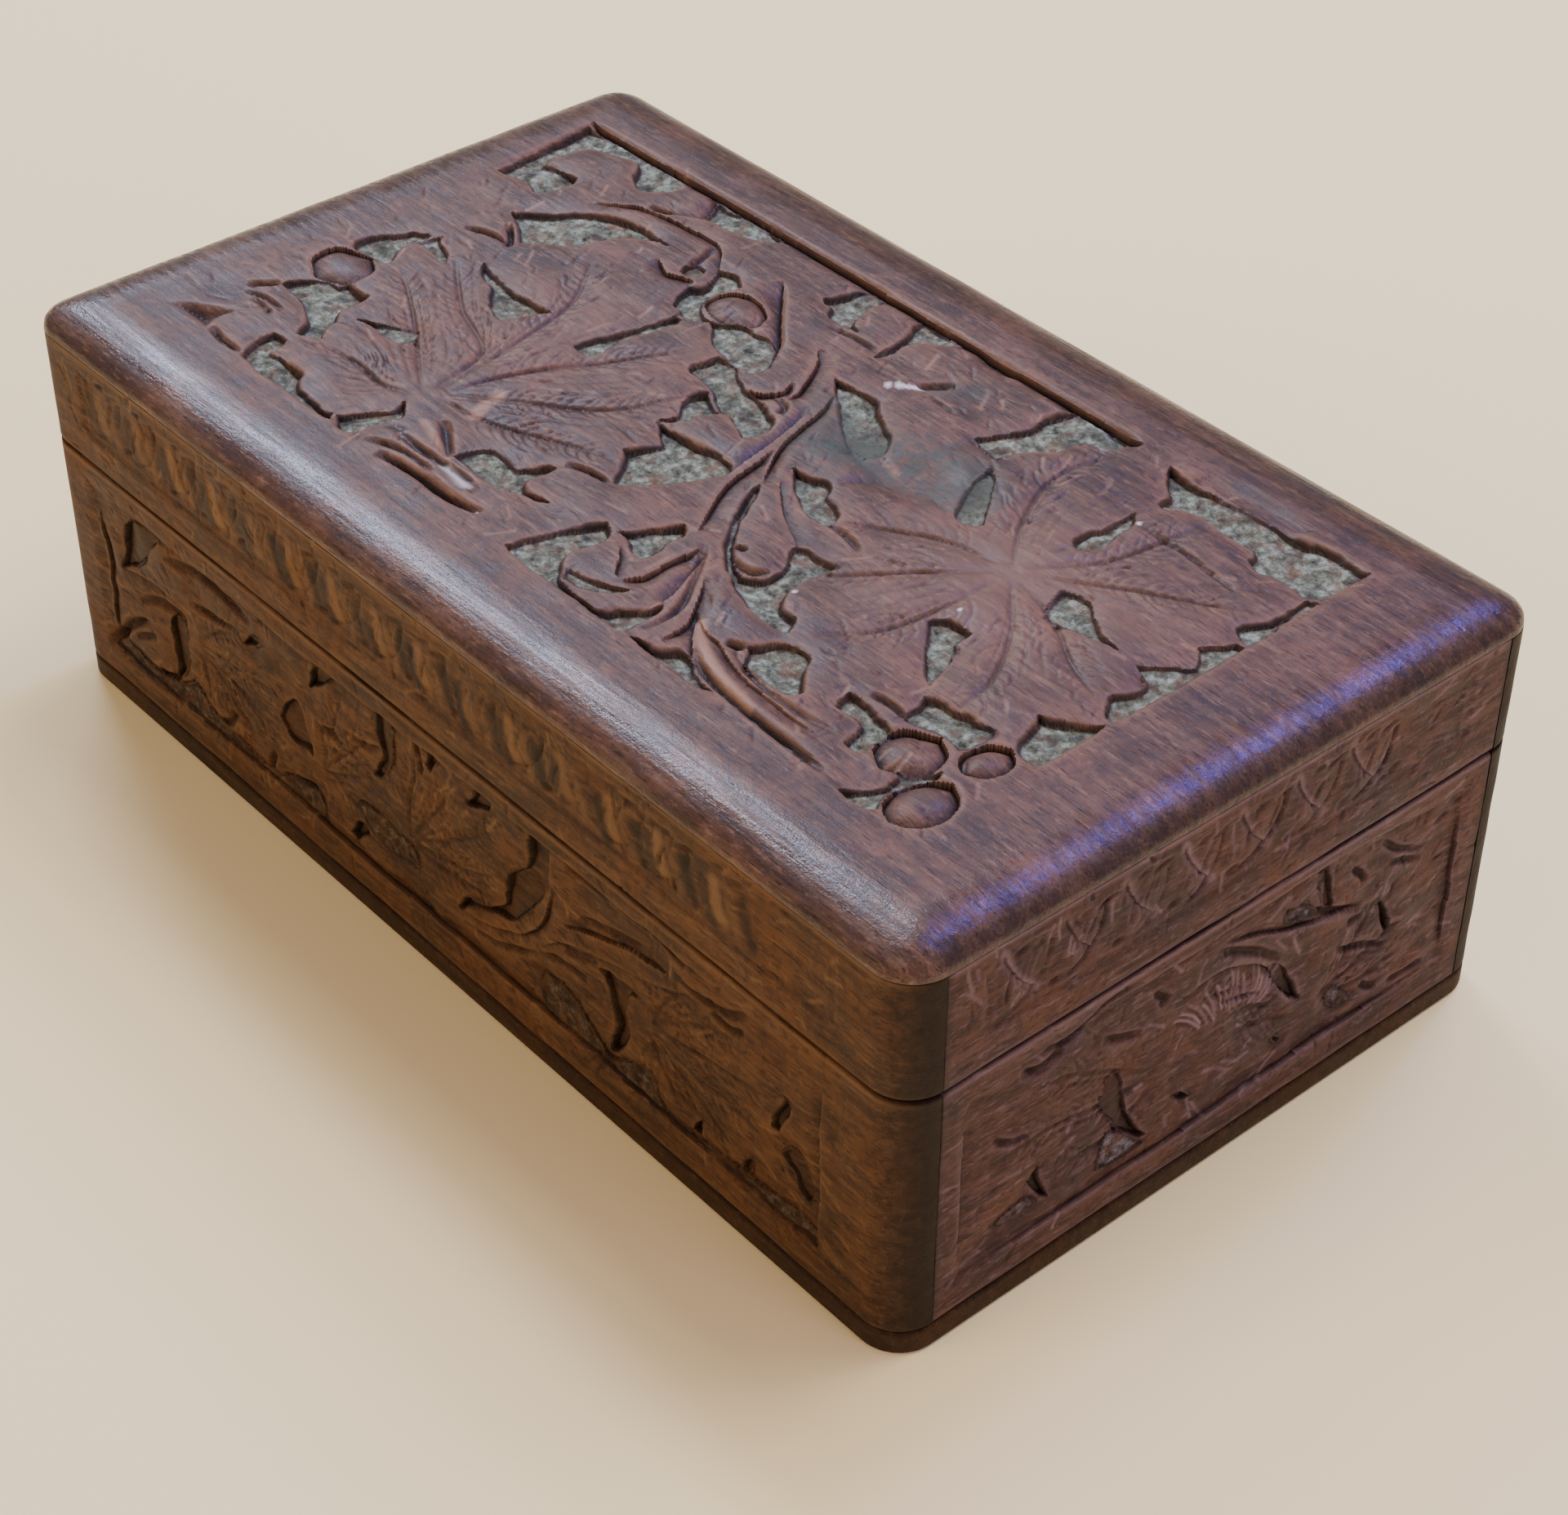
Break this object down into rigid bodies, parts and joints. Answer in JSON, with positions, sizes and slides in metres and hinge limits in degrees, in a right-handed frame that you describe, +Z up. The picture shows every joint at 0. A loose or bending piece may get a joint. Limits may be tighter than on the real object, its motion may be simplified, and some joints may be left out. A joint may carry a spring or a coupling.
{
  "type": "keepsake box",
  "caption": "Rectangular carved wooden keepsake box with rounded corners, a thin base board and a deep framed lid that opens on two butt hinges at the back.",
  "frame": {"origin": "middle of the underside, on the surface the box stands on", "axes": "+X along the length of the box, +Y towards the hinged back, +Z up"},
  "size_m": [0.25, 0.145, 0.086],
  "materials": {
    "carved_walnut": "dark reddish-brown carved walnut, hand rubbed, satin with a waxy sheen on the worn edges and a dusty ground in the cut fields",
    "base_walnut": "near-black stained walnut, satin",
    "hinge_brass": "rolled brass, dulled by age",
    "screw_brass": "turned brass screws, dulled by age",
    "brad_steel": "drawn steel wire, dull"
  },
  "bodies": {
    "box": {"base_board": "base_walnut", "front_wall": "carved_walnut", "back_wall": "carved_walnut", "left_wall": "carved_walnut", "right_wall": "carved_walnut", "left_hinge_body_leaf": "hinge_brass", "right_hinge_body_leaf": "hinge_brass", "left_hinge_pin": "hinge_brass", "right_hinge_pin": "hinge_brass", "body_hinge_screws": "screw_brass", "base_brads": "brad_steel", "body_corner_brads": "brad_steel"},
    "lid": {"lid_board": "carved_walnut", "lid_front_rail": "carved_walnut", "lid_back_rail": "carved_walnut", "lid_left_rail": "carved_walnut", "lid_right_rail": "carved_walnut", "left_hinge_lid_leaf": "hinge_brass", "right_hinge_lid_leaf": "hinge_brass", "lid_hinge_screws": "screw_brass", "lid_corner_brads": "brad_steel"}
  },
  "joints": [
    {"name": "lid_hinge", "type": "hinge", "parent": "box", "child": "lid", "pos_m": [0, 0.0709, 0.057], "axis": [-1, 0, 0], "range_deg": [0, 100]}
  ]
}
